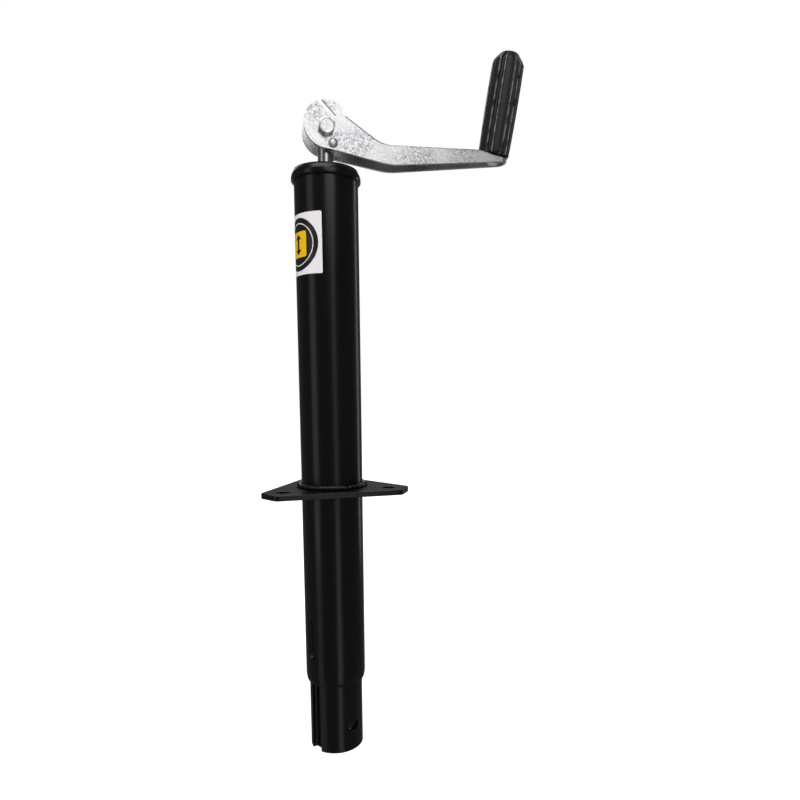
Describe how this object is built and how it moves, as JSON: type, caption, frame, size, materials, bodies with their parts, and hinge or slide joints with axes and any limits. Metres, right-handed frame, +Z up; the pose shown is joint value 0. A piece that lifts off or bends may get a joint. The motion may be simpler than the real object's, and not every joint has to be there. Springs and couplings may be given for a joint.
{
  "type": "trailer tongue jack",
  "caption": "Top-wind trailer tongue jack: a steel tube with a triangular mounting plate, a leg that a lead screw drives out, and a folding crank with a turning grip.",
  "frame": {"origin": "centre of the mounting plate's underside, on the tube's axis", "axes": "+Z up the tube towards the crank; -Y towards the plate's front corner and the leg's groove; +X completes the frame"},
  "size_m": [0.1768, 0.2301, 0.6572],
  "materials": {
    "black_powder_coat": "satin black powder coat on steel tube and plate",
    "bright_zinc": "bright zinc plate on stamped and turned steel",
    "bright_steel": "turned steel, lightly greased",
    "bearing_steel": "ground and polished bearing steel",
    "spring_steel": "dark phosphated spring steel",
    "bronze": "sintered and turned bronze",
    "grip_plastic": "moulded black polypropylene, fine grain",
    "cage_plastic": "natural nylon",
    "insert_nylon": "white nylon ring",
    "label_vinyl": "printed gloss vinyl"
  },
  "bodies": {
    "housing": {"outer_tube": "black_powder_coat", "top_cap": "black_powder_coat", "cap_bushing": "bronze", "mounting_flange": "black_powder_coat", "flange_weld": "black_powder_coat", "label": "label_vinyl", "bearing_upper_race": "bearing_steel"},
    "screw": {"drive_screw": "bright_steel", "bearing_lower_race": "bearing_steel", "retaining_ring": "spring_steel", "thrust_collar": "bright_steel", "collar_pin": "bright_steel", "stop_washer": "bright_steel", "stop_pin": "bright_steel"},
    "bearing": {"bearing_balls": "bearing_steel", "bearing_cage": "cage_plastic"},
    "leg": {"inner_tube": "black_powder_coat", "nut_plate": "bright_steel", "drive_nut": "bronze", "nut_weld": "bronze"},
    "crank": {"crank_arm": "bright_zinc", "pivot_bolt": "bright_zinc", "pivot_lock_nut": "bright_zinc", "lock_nut_insert": "insert_nylon", "pivot_spacers": "bright_zinc", "stop_rivet": "bright_zinc", "grip_spindle": "bright_zinc"},
    "grip": {"grip": "grip_plastic"}
  },
  "joints": [
    {"name": "screw_spin", "type": "hinge", "parent": "housing", "child": "screw", "pos_m": [0, 0, 0.2], "axis": [0, 0, -1], "range_deg": [0, 25603.2]},
    {"name": "leg_slide", "type": "slide", "parent": "housing", "child": "leg", "axis": [0, 0, -1], "range_m": [0, 0.3557]},
    {"name": "bearing_spin", "type": "hinge", "parent": "housing", "child": "bearing", "pos_m": [0, 0, 0.28], "axis": [0, 0, -1], "range_deg": [0, 12802]},
    {"name": "crank_fold", "type": "hinge", "parent": "screw", "child": "crank", "pos_m": [0, 0, 0.3212], "axis": [0.8339, -0.5519, 0], "range_deg": [0, 205]},
    {"name": "grip_spin", "type": "hinge", "parent": "crank", "child": "grip", "pos_m": [0.08725, 0.13181, 0.31288], "axis": [0.092, 0.139, 0.986], "continuous": true}
  ],
  "couplings": [
    {"joint": "leg_slide", "follows": "screw_spin", "m_per_rad": 0.00079577},
    {"joint": "bearing_spin", "follows": "screw_spin", "ratio": 0.5}
  ]
}
